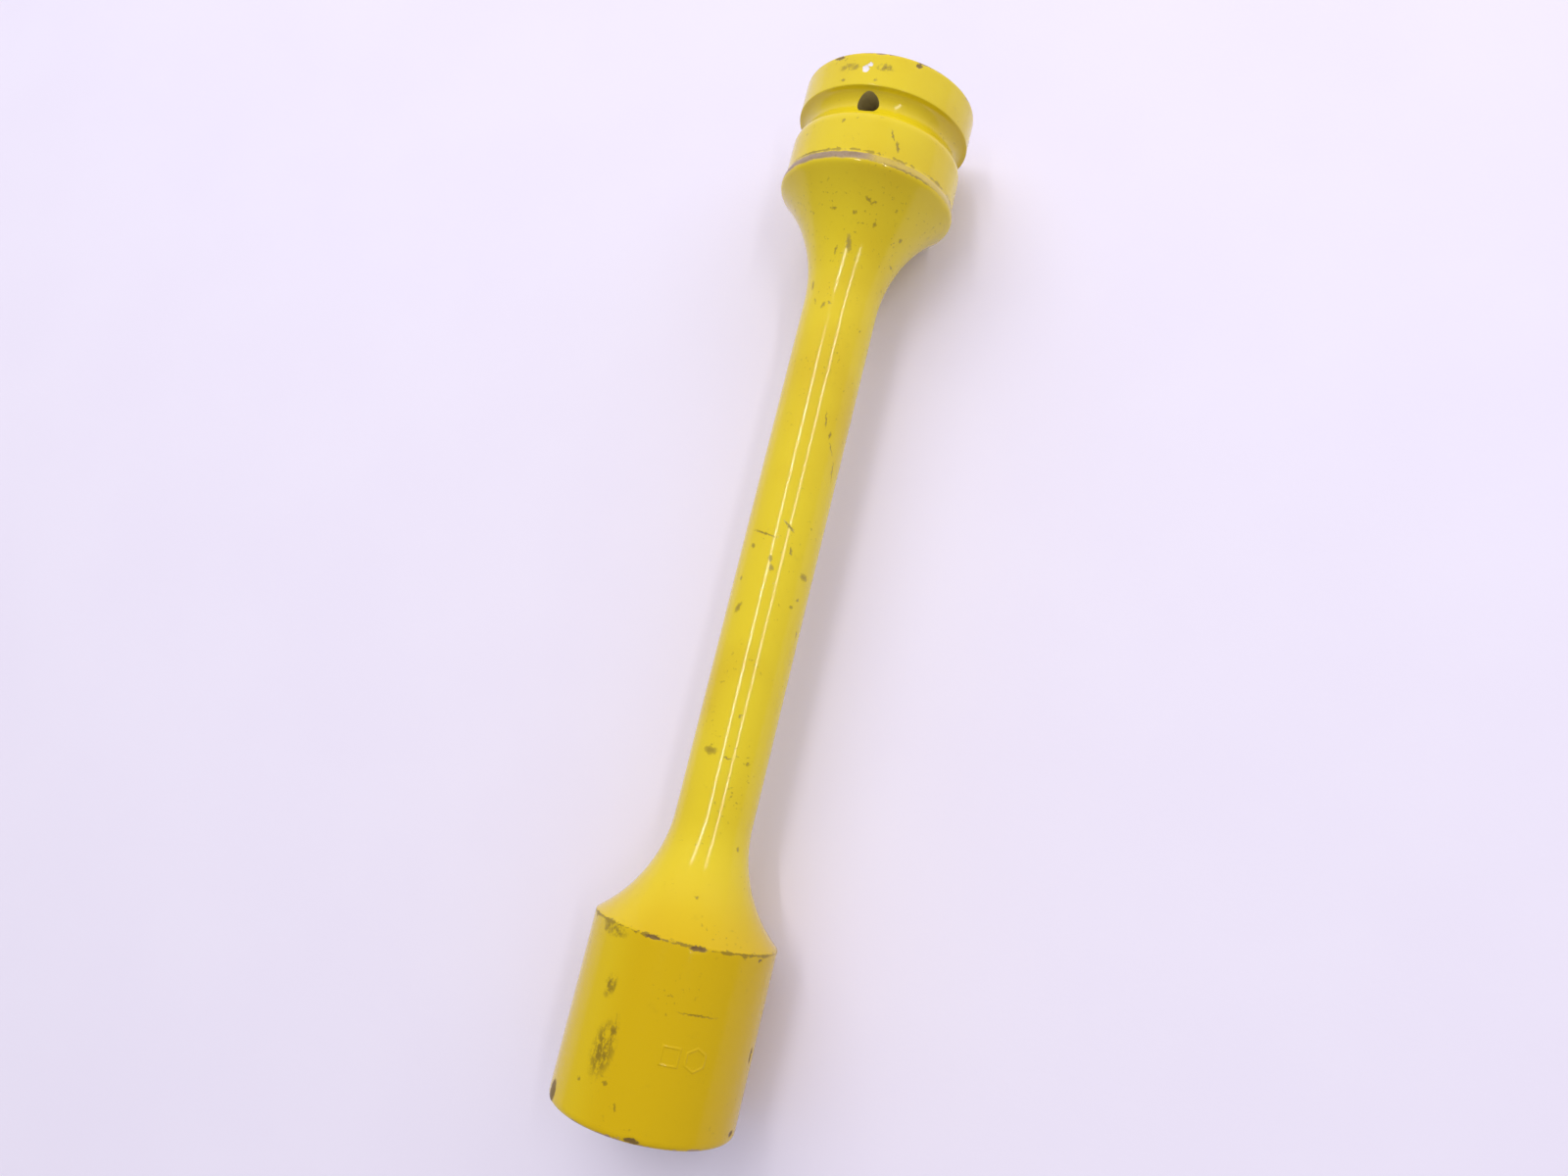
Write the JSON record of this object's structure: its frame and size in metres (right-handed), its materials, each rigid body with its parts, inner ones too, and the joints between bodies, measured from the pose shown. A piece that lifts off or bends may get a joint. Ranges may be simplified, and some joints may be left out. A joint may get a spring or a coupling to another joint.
{
  "type": "torque limiting impact socket",
  "caption": "Long one-piece torque-limiting impact socket: square drive head with ring groove and pin hole, slim torsion shank, hex nut head, worn yellow enamel.",
  "frame": {"origin": "centre of the square drive's mouth, in the plane of the drive end face", "axes": "+Y along the tool's axis, out of the square drive's mouth; the nut end points to -Y; +Z along the retaining pin's cross hole, up when the tool lies as it is laid down; +X across"},
  "size_m": [0.0548, 0.311, 0.0548],
  "materials": {
    "yellow_enamel": "glossy yellow enamel over forged alloy steel, worn to bare steel on its edges; the broached square and hex are bare oxidised steel"
  },
  "bodies": {
    "root": {"socket_body": "yellow_enamel"}
  },
  "joints": []
}
